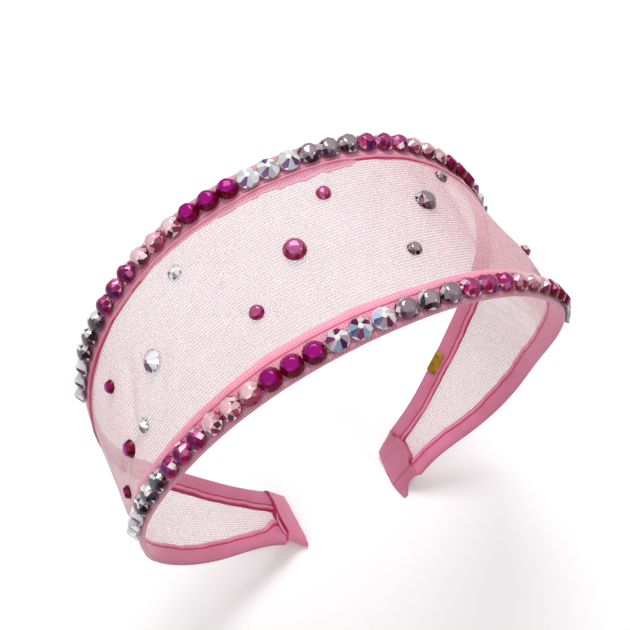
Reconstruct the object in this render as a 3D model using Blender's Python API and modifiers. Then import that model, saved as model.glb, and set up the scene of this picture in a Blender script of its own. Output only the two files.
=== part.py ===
"""A mesh headband edged with cut crystals, standing on its two wrapped tips.

A wide band of fine net runs over the head. A satin binding holds each long edge, a row of
flat-backed cut stones sits on each binding over the crown, and a satin wrap closes each tip.

Units in the tables are millimetres. X runs from tip to tip, the wearer's face is towards -Y,
and Z is up, with Z = 0 at the soles of the two tips and the origin in the middle between them.
"""
import math

import bmesh
import bpy
import numpy as np
from mathutils import Matrix, Vector

MM = 0.001

# The outer edges of the two bindings, on their outer face, over half of the band. The other
# half is its mirror image. Arc is the distance along the band from the middle of the crown.
EDGE_COLUMNS = ("arc", "front_x", "front_y", "front_z", "back_x", "back_y", "back_z")
EDGES = (
    (0.0, 0.0, -22.6, 134.8, 0.0, 23.3, 144.5),
    (17.5, 18.1, -23.3, 134.0, 16.9, 23.3, 142.1),
    (35.0, 34.0, -23.6, 128.2, 32.1, 23.2, 134.6),
    (52.5, 47.0, -22.8, 116.8, 44.7, 22.8, 122.7),
    (70.0, 56.3, -21.0, 102.3, 54.3, 21.9, 108.2),
    (87.5, 60.5, -17.9, 85.7, 59.5, 20.9, 91.8),
    (105.0, 61.7, -13.6, 68.5, 60.2, 20.9, 74.3),
    (122.5, 61.2, -9.4, 51.8, 56.1, 21.2, 57.5),
    (140.0, 55.7, -7.6, 35.6, 47.0, 18.5, 43.2),
    (157.5, 44.5, -6.7, 22.5, 35.6, 14.2, 30.2),
    (175.0, 30.2, -5.9, 12.3, 25.0, 11.1, 16.5),
    (192.5, 17.8, -7.7, 0.2, 17.8, 10.9, 0.2),
)

# Widths of the two bindings, from the crown down to the legs.
BINDING_COLUMNS = ("arc", "front_width", "back_width")
BINDINGS = (
    (0.0, 6.4, 6.0),
    (45.0, 6.4, 6.0),
    (100.0, 5.6, 5.6),
    (192.5, 5.6, 5.6),
)
BINDING_THICKNESS = 2.2
BINDING_ROUNDING = 0.9
BAND_STATIONS = 54

GAP = 0.3
MESH_THICKNESS = 1.0
MESH_LIFT = -1.1
MESH_COLUMNS = 5

# The wrap starts further up the leg on its back edge than on its front edge.
WRAP_START_FRONT = 182.5
WRAP_START_BACK = 179.0
WRAP_END = 199.0
WRAP_SWELL = 0.5
WRAP_STATIONS = 5

# Cut stones: flat back, sloping underside, girdle, sloping crown facets and a small table.
STONE_SIDES = 8
STONE_PITCH = 5.0
STONE_DIAMETER = 4.75
STONES_EACH_SIDE = 16
STONE_BACK_SHARE = 0.84
STONE_TABLE_SHARE = 0.46
STONE_HEIGHT_SHARE = 0.40
STONE_GIRDLE_SHARE = 0.09

# A row's stones are set in a narrow bed that runs along the binding.
BED_WIDTH = 2.4
BED_THICKNESS = 0.3
STONE_SINK = 0.12

# How far the row's centre line lies in from the binding's outer edge.
INSET_COLUMNS = ("arc", "front_inset", "back_inset")
INSETS = (
    (0.0, 2.8, 2.2),
    (40.0, 2.7, 2.1),
    (82.0, 2.1, 1.9),
)

# Single stones on the net: arc along the band (minus is the wearer's right), distance across
# it from the front edge, diameter, colour.
SINGLE_COLUMNS = ("arc", "across", "diameter", "colour")
SINGLES = (
    (-74.7, 9.5, 3.1, "fuchsia"),
    (-63.3, 15.0, 3.9, "fuchsia"),
    (-61.1, 29.9, 3.1, "fuchsia"),
    (-53.9, 15.2, 3.1, "clear"),
    (-43.5, 24.2, 4.75, "clear"),
    (-28.9, 36.4, 3.1, "clear"),
    (-16.5, 17.0, 3.1, "rose"),
    (-3.5, 25.0, 4.75, "rose"),
    (8.2, 34.7, 3.1, "rose"),
    (19.3, 15.4, 3.1, "greige"),
    (30.2, 27.2, 4.75, "greige"),
    (43.9, 36.5, 3.1, "greige"),
    (67.2, 18.1, 3.1, "light_rose"),
)

# A small metal tag on the inner face of the left leg's back binding.
TAG_ARC = 149.5
TAG_INSET = 2.0
TAG_LENGTH = 7.0
TAG_WIDTH = 3.0
TAG_THICKNESS = 0.4

# Name, colour, roughness, metallic, transmission.
MATERIALS = {
    "satin_pink": ((0.72, 0.25, 0.38), 0.45, 0.0, 0.0),
    "mesh_pale_pink": ((0.86, 0.66, 0.70), 0.60, 0.0, 0.0),
    "tag_gold": ((0.60, 0.38, 0.04), 0.35, 1.0, 0.0),
    "crystal_mixed": ((0.62, 0.30, 0.42), 0.08, 0.0, 0.6),
    "crystal_clear": ((0.85, 0.87, 0.90), 0.05, 0.0, 0.7),
    "crystal_rose": ((0.60, 0.10, 0.28), 0.06, 0.0, 0.5),
    "crystal_light_rose": ((0.80, 0.50, 0.52), 0.06, 0.0, 0.5),
    "crystal_fuchsia": ((0.45, 0.01, 0.20), 0.06, 0.0, 0.4),
    "crystal_greige": ((0.34, 0.28, 0.32), 0.08, 0.0, 0.4),
}


def clear_scene():
    """Remove the objects and unused data that are already there."""
    for old in list(bpy.data.objects):
        bpy.data.objects.remove(old, do_unlink=True)
    for group in (bpy.data.meshes, bpy.data.curves, bpy.data.materials):
        for block in list(group):
            if block.users == 0:
                group.remove(block)


def make_material(name):
    """A Principled material with the part's colour, roughness and metallic value."""
    colour, roughness, metallic, transmission = MATERIALS[name]
    material = bpy.data.materials.new(name)
    material.use_nodes = True
    shader = material.node_tree.nodes["Principled BSDF"]
    shader.inputs["Base Color"].default_value = (*colour, 1.0)
    shader.inputs["Roughness"].default_value = roughness
    shader.inputs["Metallic"].default_value = metallic
    shader.inputs["Transmission Weight"].default_value = transmission
    material.diffuse_color = (*colour, 1.0)
    return material


def smooth_curve(knots, values):
    """A natural cubic spline through the values, which goes on straight past its ends."""
    knots = np.asarray(knots, float)
    values = np.asarray(values, float)
    count = len(knots)
    step = np.diff(knots)
    system = np.eye(count)
    right = np.zeros(count)
    for i in range(1, count - 1):
        system[i, i - 1] = step[i - 1]
        system[i, i] = 2.0 * (step[i - 1] + step[i])
        system[i, i + 1] = step[i]
        slope_after = (values[i + 1] - values[i]) / step[i]
        slope_before = (values[i] - values[i - 1]) / step[i - 1]
        right[i] = 6.0 * (slope_after - slope_before)
    bend = np.linalg.solve(system, right)

    def value_at(x):
        inside = min(max(x, knots[0]), knots[-1])
        i = min(int(np.searchsorted(knots, inside, side="right")) - 1, count - 2)
        before = inside - knots[i]
        after = knots[i + 1] - inside
        width = step[i]
        chord = (values[i] * after + values[i + 1] * before) / width
        sag = bend[i] * (after ** 3 / width - after * width) / 6.0
        sag += bend[i + 1] * (before ** 3 / width - before * width) / 6.0
        slope = (values[i + 1] - values[i]) / width
        slope -= bend[i] * (3.0 * after ** 2 / width - width) / 6.0
        slope += bend[i + 1] * (3.0 * before ** 2 / width - width) / 6.0
        return chord + sag + slope * (x - inside)

    return value_at


def edge_curves():
    """One spline for each column of EDGES, run through both halves of the band."""
    table = np.array(EDGES)
    knots = np.concatenate([-table[:0:-1, 0], table[:, 0]])
    curves = {}
    for column, name in enumerate(EDGE_COLUMNS[1:], start=1):
        sign = -1.0 if name.endswith("_x") else 1.0
        values = np.concatenate([sign * table[:0:-1, column], table[:, column]])
        curves[name] = smooth_curve(knots, values)
    return curves


CURVES = edge_curves()


def edge_point(side, arc):
    """The point at this arc on the outer edge of the front or the back binding."""
    return Vector(CURVES[f"{side}_{axis}"](arc) for axis in "xyz")


def band_frame(arc):
    """Front edge point, direction across, direction out of the band, and width."""
    front = edge_point("front", arc)
    back = edge_point("back", arc)
    ahead = edge_point("front", arc + 0.5) + edge_point("back", arc + 0.5)
    behind = edge_point("front", arc - 0.5) + edge_point("back", arc - 0.5)
    across = (back - front).normalized()
    out = (ahead - behind).cross(across).normalized()
    return front, across, out, (back - front).length


def look_up(table, arc, column):
    """A column of a short table at this distance from the crown."""
    rows = np.array(table)
    return float(np.interp(abs(arc), rows[:, 0], rows[:, column]))


def wrap_start(share):
    """Arc at which the wrap starts, at this share of the width from the front edge."""
    return WRAP_START_FRONT + (WRAP_START_BACK - WRAP_START_FRONT) * share


def band_point(run, across, lift, from_back=False):
    """A point on the band: run is the share of the way from the crown to the wrap."""
    width = band_frame(run * WRAP_START_FRONT)[3]
    share = 1.0 - across / width if from_back else across / width
    front, sideways, out, width = band_frame(run * wrap_start(share))
    distance = width - across if from_back else across
    return front + sideways * distance + out * lift


def add_object(name, bm, material, collection, parent):
    """Turn a closed bmesh in millimetres into an object in metres."""
    bmesh.ops.remove_doubles(bm, verts=bm.verts, dist=1e-4)
    bmesh.ops.recalc_face_normals(bm, faces=bm.faces)
    bmesh.ops.scale(bm, vec=(MM, MM, MM), verts=bm.verts)
    mesh = bpy.data.meshes.new(name)
    bm.to_mesh(mesh)
    bm.free()
    mesh.materials.append(material)
    obj = bpy.data.objects.new(name, mesh)
    collection.objects.link(obj)
    obj.parent = parent
    return obj


def shade_smooth(obj, degrees=35.0):
    """Shade the faces smooth and keep the edges sharper than this angle crisp."""
    obj.data.polygons.foreach_set("use_smooth", [True] * len(obj.data.polygons))
    obj.data.set_sharp_from_angle(angle=math.radians(degrees))


def loft(rings):
    """A closed solid through rings with the same number of points, capped at both ends."""
    bm = bmesh.new()
    loops = [[bm.verts.new(point) for point in ring] for ring in rings]
    for lower, upper in zip(loops, loops[1:]):
        for i in range(len(lower)):
            j = (i + 1) % len(lower)
            bm.faces.new((lower[i], lower[j], upper[j], upper[i]))
    bm.faces.new(reversed(loops[0]))
    bm.faces.new(loops[-1])
    return bm


def rounded_section(width, top, bottom, rounding):
    """A flat section with rounded long edges: distance across and lift of each point."""
    middle = (top + bottom) / 2.0
    return (
        (0.0, middle),
        (0.3 * rounding, top - 0.3 * rounding),
        (rounding, top),
        (width - rounding, top),
        (width - 0.3 * rounding, top - 0.3 * rounding),
        (width, middle),
        (width - 0.3 * rounding, bottom + 0.3 * rounding),
        (width - rounding, bottom),
        (rounding, bottom),
        (0.3 * rounding, bottom + 0.3 * rounding),
    )


def make_binding(side, material, collection, parent):
    """The satin binding along one long edge, from wrap to wrap."""
    column = BINDING_COLUMNS.index(f"{side}_width")
    reach = 1.0 - GAP / WRAP_START_FRONT
    rings = []
    for i in range(BAND_STATIONS + 1):
        run = reach * (2.0 * i / BAND_STATIONS - 1.0)
        width = look_up(BINDINGS, run * WRAP_START_FRONT, column)
        section = rounded_section(width, 0.0, -BINDING_THICKNESS, BINDING_ROUNDING)
        rings.append([band_point(run, u, lift, side == "back") for u, lift in section])
    obj = add_object(f"{side}_binding", loft(rings), material, collection, parent)
    shade_smooth(obj)
    return obj


def make_mesh_panel(material, collection, parent):
    """The net between the bindings: an open sheet that Solidify gives its thickness."""
    reach = 1.0 - GAP / WRAP_START_FRONT
    bm = bmesh.new()
    rows = []
    for i in range(BAND_STATIONS + 1):
        run = reach * (2.0 * i / BAND_STATIONS - 1.0)
        arc = run * WRAP_START_FRONT
        start = look_up(BINDINGS, arc, 1) + GAP
        end = band_frame(arc)[3] - look_up(BINDINGS, arc, 2) - GAP
        row = []
        for j in range(MESH_COLUMNS + 1):
            across = start + (end - start) * j / MESH_COLUMNS
            row.append(bm.verts.new(band_point(run, across, MESH_LIFT)))
        rows.append(row)
    for near, far in zip(rows, rows[1:]):
        for j in range(MESH_COLUMNS):
            bm.faces.new((near[j], far[j], far[j + 1], near[j + 1]))
    obj = add_object("mesh_panel", bm, material, collection, parent)
    solidify = obj.modifiers.new("thickness", "SOLIDIFY")
    solidify.thickness = MESH_THICKNESS * MM
    solidify.offset = 0.0
    solidify.use_even_offset = True
    shade_smooth(obj)
    return obj


def make_wrap(name, sign, material, collection, parent):
    """The folded ribbon round one tip, cut off flat at the sole."""
    rings = []
    for i in range(WRAP_STATIONS + 1):
        step = i / WRAP_STATIONS
        width = band_frame(WRAP_START_FRONT + (WRAP_END - WRAP_START_FRONT) * step)[3]
        section = rounded_section(
            width + 2.0 * WRAP_SWELL, WRAP_SWELL, -BINDING_THICKNESS - WRAP_SWELL, 1.2
        )
        ring = []
        for u, lift in section:
            across = u - WRAP_SWELL
            start = wrap_start(across / width)
            arc = start + (WRAP_END - start) * step
            front, sideways, out, width_here = band_frame(sign * arc)
            ring.append(front + sideways * across * width_here / width + out * lift)
        rings.append(ring)
    bm = loft(rings)
    everything = list(bm.verts) + list(bm.edges) + list(bm.faces)
    bmesh.ops.bisect_plane(
        bm, geom=everything, plane_co=(0, 0, 0), plane_no=(0, 0, 1), clear_inner=True
    )
    rim = [edge for edge in bm.edges if edge.is_boundary]
    bmesh.ops.contextual_create(bm, geom=rim)
    obj = add_object(name, bm, material, collection, parent)
    shade_smooth(obj)
    return obj


def add_stone(bm, diameter, matrix):
    """A flat-backed cut stone: underside, girdle, crown facets and table."""
    radius = diameter / 2.0
    height = diameter * STONE_HEIGHT_SHARE
    girdle = diameter * STONE_GIRDLE_SHARE
    levels = (
        (radius * STONE_BACK_SHARE, 0.0),
        (radius, girdle),
        (radius * STONE_TABLE_SHARE, height),
    )
    loops = []
    for reach, level in levels:
        loop = []
        for i in range(STONE_SIDES):
            turn = 2.0 * math.pi * (i + 0.5) / STONE_SIDES
            point = Vector((reach * math.cos(turn), reach * math.sin(turn), level))
            loop.append(bm.verts.new(matrix @ point))
        loops.append(loop)
    for lower, upper in zip(loops, loops[1:]):
        for i in range(STONE_SIDES):
            j = (i + 1) % STONE_SIDES
            bm.faces.new((lower[i], lower[j], upper[j], upper[i]))
    bm.faces.new(reversed(loops[0]))
    bm.faces.new(loops[-1])


def seat_matrix(arc, across, lift, from_back=False):
    """The place and turn of a stone: its table faces out of the band."""
    front, sideways, out, width = band_frame(arc)
    distance = width - across if from_back else across
    along = sideways.cross(out).normalized()
    place = front + sideways * distance + out * lift
    turn = Matrix((along, sideways, out)).transposed().to_4x4()
    return Matrix.Translation(place) @ turn


def make_crystal_row(side, material, collection, parent, tools):
    """All stones on one binding, set into the bed below them as one body."""
    from_back = side == "back"
    column = INSET_COLUMNS.index(f"{side}_inset")
    bed_bottom = GAP
    bed_top = GAP + BED_THICKNESS
    half = BED_WIDTH / 2.0
    reach = STONES_EACH_SIDE * STONE_PITCH + 1.6
    count = 2 * STONES_EACH_SIDE + 2
    rings = []
    for i in range(count + 1):
        arc = reach * (2.0 * i / count - 1.0)
        inset = look_up(INSETS, arc, column)
        place = seat_matrix(arc, inset, 0.0, from_back)
        corners = ((-half, bed_bottom), (half, bed_bottom), (half, bed_top), (-half, bed_top))
        rings.append([place @ Vector((0.0, u, lift)) for u, lift in corners])
    name = f"{side}_crystal_row"
    row = add_object(name, loft(rings), material, collection, parent)

    bm = bmesh.new()
    for i in range(-STONES_EACH_SIDE, STONES_EACH_SIDE + 1):
        arc = i * STONE_PITCH
        inset = look_up(INSETS, arc, column)
        add_stone(bm, STONE_DIAMETER, seat_matrix(arc, inset, bed_top - STONE_SINK, from_back))
    stones = add_object(f"{side}_stones_cutter", bm, material, tools, parent)
    stones.hide_render = True
    stones.display_type = "WIRE"

    union = row.modifiers.new("set stones", "BOOLEAN")
    union.operation = "UNION"
    union.solver = "EXACT"
    union.object = stones
    return row


def make_single(index, row, materials, collection, parent):
    """One stone on the net, clear of it by the usual gap."""
    arc, across, diameter, colour = row
    bm = bmesh.new()
    add_stone(bm, diameter, Matrix.Identity(4))
    obj = add_object(f"crystal_{index:02d}", bm, materials[f"crystal_{colour}"], collection, parent)
    place = seat_matrix(arc, across, MESH_LIFT + MESH_THICKNESS / 2.0 + GAP)
    place.translation = place.translation * MM
    obj.matrix_local = place
    return obj


def make_tag(material, collection, parent):
    """The small flat tag under the back binding."""
    bpy.ops.mesh.primitive_cube_add(size=1.0)
    tag = bpy.context.active_object
    tag.name = "inner_tag"
    tag.data.name = "inner_tag"
    for old in list(tag.users_collection):
        old.objects.unlink(tag)
    collection.objects.link(tag)
    tag.data.materials.append(material)
    tag.parent = parent
    lift = -BINDING_THICKNESS - GAP - TAG_THICKNESS / 2.0
    place = seat_matrix(TAG_ARC, TAG_INSET, lift, from_back=True)
    place.translation = place.translation * MM
    size = Matrix.Diagonal((TAG_LENGTH * MM, TAG_WIDTH * MM, TAG_THICKNESS * MM, 1.0))
    tag.data.transform(size)
    tag.matrix_local = place
    bevel = tag.modifiers.new("soft edges", "BEVEL")
    bevel.width = 0.08 * MM
    bevel.segments = 1
    return tag


def build():
    """Make every piece of the headband."""
    clear_scene()
    collection = bpy.data.collections.new("crystal_mesh_headband")
    tools = bpy.data.collections.new("cutters")
    bpy.context.scene.collection.children.link(collection)
    bpy.context.scene.collection.children.link(tools)
    parent = bpy.data.objects.new("headband", None)
    collection.objects.link(parent)
    materials = {name: make_material(name) for name in MATERIALS}

    for side in ("front", "back"):
        make_binding(side, materials["satin_pink"], collection, parent)
    make_mesh_panel(materials["mesh_pale_pink"], collection, parent)
    make_wrap("right_tip_wrap", -1.0, materials["satin_pink"], collection, parent)
    make_wrap("left_tip_wrap", 1.0, materials["satin_pink"], collection, parent)
    for side in ("front", "back"):
        make_crystal_row(side, materials["crystal_mixed"], collection, parent, tools)
    for index, row in enumerate(SINGLES, start=1):
        make_single(index, row, materials, collection, parent)
    make_tag(materials["tag_gold"], collection, parent)


build()
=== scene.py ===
"""The looks of a net headband edged with cut stones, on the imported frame.

Left and right are the wearer's. X runs to the left, Y to the back and Z up. Arc is the distance
along the band from the middle of the crown, below 0 on the right, and across is the distance
over the band from one of its edges. Shapes are in millimetres, and add_piece makes them metres.
"""
import math

import bpy
import numpy as np
from mathutils import Matrix, Vector


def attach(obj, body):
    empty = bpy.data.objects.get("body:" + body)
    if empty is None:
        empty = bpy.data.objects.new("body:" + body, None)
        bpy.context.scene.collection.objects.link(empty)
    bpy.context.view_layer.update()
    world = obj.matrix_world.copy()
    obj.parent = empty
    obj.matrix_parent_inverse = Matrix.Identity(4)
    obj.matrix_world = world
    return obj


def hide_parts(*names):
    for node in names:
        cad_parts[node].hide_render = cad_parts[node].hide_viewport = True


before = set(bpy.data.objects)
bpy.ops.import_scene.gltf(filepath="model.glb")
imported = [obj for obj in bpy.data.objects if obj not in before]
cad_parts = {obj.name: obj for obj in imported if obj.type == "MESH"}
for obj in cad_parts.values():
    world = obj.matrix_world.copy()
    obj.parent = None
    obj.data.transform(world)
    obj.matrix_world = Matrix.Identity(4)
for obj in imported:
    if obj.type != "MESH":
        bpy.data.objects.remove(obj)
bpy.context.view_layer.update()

MM = 0.001

# The band's outer edges over half of its length, as the part's source has them, in millimetres:
# distance along the band, then x, y, z of the front edge and of the back edge.
EDGES = np.array((
    (0.0, 0.0, -22.6, 134.8, 0.0, 23.3, 144.5),
    (17.5, 18.1, -23.3, 134.0, 16.9, 23.3, 142.1),
    (35.0, 34.0, -23.6, 128.2, 32.1, 23.2, 134.6),
    (52.5, 47.0, -22.8, 116.8, 44.7, 22.8, 122.7),
    (70.0, 56.3, -21.0, 102.3, 54.3, 21.9, 108.2),
    (87.5, 60.5, -17.9, 85.7, 59.5, 20.9, 91.8),
    (105.0, 61.7, -13.6, 68.5, 60.2, 20.9, 74.3),
    (122.5, 61.2, -9.4, 51.8, 56.1, 21.2, 57.5),
    (140.0, 55.7, -7.6, 35.6, 47.0, 18.5, 43.2),
    (157.5, 44.5, -6.7, 22.5, 35.6, 14.2, 30.2),
    (175.0, 30.2, -5.9, 12.3, 25.0, 11.1, 16.5),
    (192.5, 17.8, -7.7, 0.2, 17.8, 10.9, 0.2),
))
# Distance along the band, width of the front edging and of the back edging up to the net.
EDGING = np.array((
    (-184.5, 5.6, 5.6), (-100.0, 6.0, 5.6), (-80.0, 7.0, 5.4), (-62.0, 7.4, 5.5), (-45.0, 7.2, 5.7),
    (-20.0, 7.9, 5.6), (-3.0, 7.9, 5.4), (10.0, 7.3, 5.5), (20.0, 6.9, 6.0), (40.0, 7.2, 6.2),
    (60.0, 7.4, 6.0), (80.0, 7.0, 5.7), (100.0, 6.0, 5.6), (184.5, 5.6, 5.6),
))
# Distance along the band, how far the front and the back row of stones lie in from their edge.
INSETS = np.array(((0.0, 2.8, 2.2), (40.0, 2.7, 2.1), (82.0, 2.1, 1.9)))
# Where along the band the tips' wraps start, at the front edge and at the back edge.
WRAP_START_FRONT = 182.5
WRAP_START_BACK = 179.0
BAND_END = 184.5

# The net's threads.
THREAD_ACROSS_PITCH = 0.71
THREAD_ALONG_PITCH = 0.78
LONG_THREAD_WIDTH = 0.42
CROSS_THREAD_WIDTH = 0.64
THREAD_DEPTH = 0.12

# The rows of stones, and how high over the edging a stone's back lies.
STONE_PITCH = 5.0
STONE_DIAMETER = 5.15
STONES_EACH_SIDE = 16
BED_TOP = 0.48
# The stones look up to this far along the band, and aside past it; its steep flanks start later.
CROWN_REACH = 38.0
FLANK_START = 60.0

# Single stones: distance along the band, distance across it, diameter, colour.
SINGLES = (
    (-74.7, 9.5, 3.1, "fuchsia"),
    (-63.3, 15.0, 3.9, "fuchsia"),
    (-61.1, 29.9, 3.1, "fuchsia"),
    (-53.9, 15.2, 3.1, "clear"),
    (-43.5, 24.2, 4.75, "rainbow"),
    (-28.9, 36.4, 3.1, "clear"),
    (-16.5, 17.0, 3.1, "flat_rose"),
    (-3.5, 25.0, 4.75, "flat_rose"),
    (8.2, 34.7, 3.1, "flat_rose"),
    (19.3, 15.4, 3.1, "greige"),
    (30.2, 27.2, 4.75, "greige"),
    (43.9, 36.5, 3.1, "greige"),
    (67.2, 18.1, 3.1, "light_rose"),
)
# The rows' colours in threes, from the wearer's right to the left.
ROW_COLOURS = ("rainbow", "greige", "rose", "light_rose", "fuchsia", "rainbow",
               "greige", "rose", "light_rose", "fuchsia", "rainbow")


# ---- the band's surface

def natural_spline(knots, values, x):
    """Natural cubic spline through values at knots, read at x, straight on past its ends.

    Second derivatives m solve h0 m0 + 2 (h0 + h1) m1 + h1 m2 = 6 (slope1 - slope0); between
    knots the curve is the chord plus the two cubic terms (t^3 / h - t h) m / 6.
    """
    step = np.diff(knots)
    count = len(knots)
    system = np.eye(count)
    inner = np.arange(1, count - 1)
    system[inner, inner - 1] = step[:-1]
    system[inner, inner] = 2.0 * (step[:-1] + step[1:])
    system[inner, inner + 1] = step[1:]
    right = np.zeros(count)
    right[1:-1] = 6.0 * np.diff(np.diff(values) / step)
    bend = np.linalg.solve(system, right)
    inside = np.clip(x, knots[0], knots[-1])
    i = np.clip(np.searchsorted(knots, inside, side="right") - 1, 0, count - 2)
    before, after, h = inside - knots[i], knots[i + 1] - inside, step[i]
    value = (values[i] * after + values[i + 1] * before) / h
    value = value + bend[i] * (after ** 3 / h - after * h) / 6.0
    value = value + bend[i + 1] * (before ** 3 / h - before * h) / 6.0
    slope = (values[i + 1] - values[i]) / h - bend[i] * (3.0 * after ** 2 / h - h) / 6.0
    slope = slope + bend[i + 1] * (3.0 * before ** 2 / h - h) / 6.0
    return value + slope * (x - inside)


def edges(arc):
    """Front and back edge points at arc, from the table run through both mirrored halves."""
    knots = np.concatenate([-EDGES[:0:-1, 0], EDGES[:, 0]])
    columns = []
    for c in range(1, 7):
        mirror = -1.0 if c in (1, 4) else 1.0  # the two columns of x change sign
        values = np.concatenate([mirror * EDGES[:0:-1, c], EDGES[:, c]])
        columns.append(natural_spline(knots, values, arc))
    return np.stack(columns[:3], -1), np.stack(columns[3:], -1)


def unit(v):
    """v over its own length."""
    return v / np.maximum(np.linalg.norm(v, axis=-1, keepdims=True), 1e-12)


def band_axes(arc):
    """Front edge, unit direction across, along and out, and width at each arc.

    Across runs from the front edge to the back edge, out is the middle line's direction, from
    0.5 mm before to 0.5 mm after, crossed with it, and along is across crossed with out.
    """
    arc = np.asarray(arc, float)
    front, back = edges(arc)
    f1, b1 = edges(arc + 0.5)
    f0, b0 = edges(arc - 0.5)
    across = unit(back - front)
    out = unit(np.cross(f1 + b1 - f0 - b0, across))
    return front, across, np.cross(across, out), out, np.linalg.norm(back - front, axis=-1)


def ease(x, low, high):
    """Smoothstep: 0 below low, 1 above high, 3 t^2 - 2 t^3 between."""
    t = np.clip((x - low) / (high - low), 0.0, 1.0)
    return t * t * (3.0 - 2.0 * t)


def seat(arc):
    """How thick the edging is and how far out it sits, as the photograph shows each half.

    The cloth edging is thinner than its solid. The legs lie a little further out, and both
    sides curve in above the legs, the wearer's left one by almost two millimetres.
    """
    knots = np.array((-195.0, -160.0, -135.0, -110.0, -92.0, -76.0, -50.0, 0.0, 40.0, 60.0, 75.0,
                      90.0, 105.0, 122.0, 142.0, 160.0, 195.0))
    shift = np.array((1.25, 1.25, 0.95, 0.2, -0.4, -0.6, -0.1, 0.0, -0.1, -0.8, -1.5, -1.9, -1.9,
                      -0.9, 0.6, 1.2, 1.25))
    thin = 0.66 + 0.1 * ease(np.abs(arc), 100.0, 150.0)
    return thin, natural_spline(knots, shift, arc)


def on_band(arc, across, lift):
    """Point front + across * side + lift * out, in millimetres, for arrays of one shape.

    Lifts below the outer face are taken in by the edging's thinness there.
    """
    front, side, _, out, _ = band_axes(arc)
    thin, shift = seat(arc)
    lift = np.maximum(lift, 0.0) + np.minimum(lift, 0.0) * thin + shift
    return front + side * np.asarray(across)[..., None] + out * lift[..., None]


def width_at(arc):
    """Width of the band at each arc."""
    return band_axes(arc)[4]


def binding_width(side, arc):
    """Width of one edging at each arc, up to its piped ridge beside the net."""
    return np.interp(arc, EDGING[:, 0], EDGING[:, 1 if side == "front" else 2])


def from_front(side, arc, across):
    """Distance from the front edge of what is measured in from the edge of one side."""
    return across if side == "front" else width_at(arc) - across


def row_inset(side, arc):
    """How far the middle of one side's row of stones lies in from its edge."""
    return np.interp(np.abs(arc), INSETS[:, 0], INSETS[:, 1 if side == "front" else 2])


def wrap_start(share):
    """Arc where the tip's wrap starts, at this share of the width from the front edge."""
    return WRAP_START_FRONT + (WRAP_START_BACK - WRAP_START_FRONT) * share


def slanted(arc, place, width):
    """Arc drawn in towards the back edge, so that the band's ends lie along the wraps' borders."""
    return arc * wrap_start(np.clip(place / width, 0.0, 1.0)) / WRAP_START_FRONT


def waves(x, terms):
    """Sum of a * sin(2 pi x / wavelength + phase) over the terms (a, wavelength, phase)."""
    return sum(a * np.sin(2.0 * np.pi * x / w + p) for a, w, p in terms)


# ---- meshes

def add_piece(name, points, faces, material, smooth=True, uv=None, colour=None, dye_and_shade=None):
    """A mesh in metres from points in millimetres and faces as rows of corner numbers.

    It may have a cloth map and a dye with painted light and shade for each point, and a tint for
    each corner of each face, which on the stones carries their colour with painted reflections and
    shade.
    """
    mesh = bpy.data.meshes.new(name)
    mesh.from_pydata((np.asarray(points) * MM).tolist(), [], [list(f) for f in faces])
    mesh.polygons.foreach_set("use_smooth", np.broadcast_to(smooth, len(mesh.polygons)).copy())
    if uv is not None:
        layer = mesh.uv_layers.new(name="cloth")
        corners = np.empty(len(mesh.loops), np.int32)
        mesh.loops.foreach_get("vertex_index", corners)
        layer.data.foreach_set("uv", np.asarray(uv, np.float32)[corners].ravel())
    if colour is not None:
        # on the stones the tint carries their colour with painted reflections and shade
        tint = mesh.color_attributes.new("tint", "FLOAT_COLOR", "CORNER")
        tint.data.foreach_set("color", np.asarray(colour, np.float32).ravel())
    if dye_and_shade is not None:
        dyed = mesh.color_attributes.new("dye_and_shade", "FLOAT_COLOR", "POINT")
        dyed.data.foreach_set("color", np.asarray(dye_and_shade, np.float32).ravel())
    mesh.materials.append(material)
    mesh.update()
    obj = bpy.data.objects.new(name, mesh)
    bpy.context.scene.collection.objects.link(obj)
    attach(obj, "root")
    return obj


def skin(rows, columns):
    """Quads of a tube with that many rings of that many points, without its caps."""
    i, j = np.meshgrid(np.arange(rows - 1), np.arange(columns), indexing="ij")
    k = (j + 1) % columns
    a, b = i * columns + j, i * columns + k
    c, d = (i + 1) * columns + k, (i + 1) * columns + j
    return np.stack([a, b, c, d], -1).reshape(-1, 4)


def volume(points, quads):
    """Six times the volume in a closed skin, the sum of a . (b x c); below 0 if it faces in."""
    a, b, c, d = (points[quads[:, n]] for n in range(4))
    return (a * np.cross(b, c)).sum() + (a * np.cross(c, d)).sum()


def closed_loft(grid):
    """Points and outward faces of a closed tube through a grid of rings, capped at each end."""
    rows, columns = grid.shape[:2]
    points = grid.reshape(-1, 3)
    sides = skin(rows, columns)
    first, last = np.arange(columns)[::-1], np.arange(columns) + (rows - 1) * columns
    faces = [*sides, first, last]
    return points, faces if volume(points, sides) >= 0.0 else [f[::-1] for f in faces]


def threads(lines, sideways, outward, half_width, half_depth):
    """Four-sided threads with closed ends along lines of points, one array per family.

    Corners lie at line +- half_width * sideways and line +- half_depth * outward, and a quad
    closes each end.
    """
    count, steps = lines.shape[:2]
    ring = np.stack([lines + half_width * sideways, lines + half_depth * outward,
                     lines - half_width * sideways, lines - half_depth * outward], 2)
    points = ring.reshape(-1, 3)
    base = (np.arange(count) * steps * 4)[:, None, None]
    side = skin(steps, 4)[None] + base
    ends = np.stack([np.array([[3, 2, 1, 0]]), np.array([[0, 1, 2, 3]]) + (steps - 1) * 4])
    caps = ends.reshape(1, 2, 4) + base
    return points, np.concatenate([side.reshape(-1, 4), caps.reshape(-1, 4)])


def facing_out(points, quads):
    """The quads of a closed surface, turned together so that they point outwards."""
    return quads if volume(points, quads) > 0.0 else quads[:, ::-1]


def cloth_map(arc, across, lift, ring):
    """Cloth map of a loft: U is the arc and V is the way round one of its rings."""
    way = np.cumsum(np.hypot(np.diff(across[ring]), np.diff(lift[ring])))
    around = np.concatenate([[0.0], way])
    return np.stack([arc.ravel(), np.broadcast_to(around, arc.shape).ravel()], -1)


# ---- shaders

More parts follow.
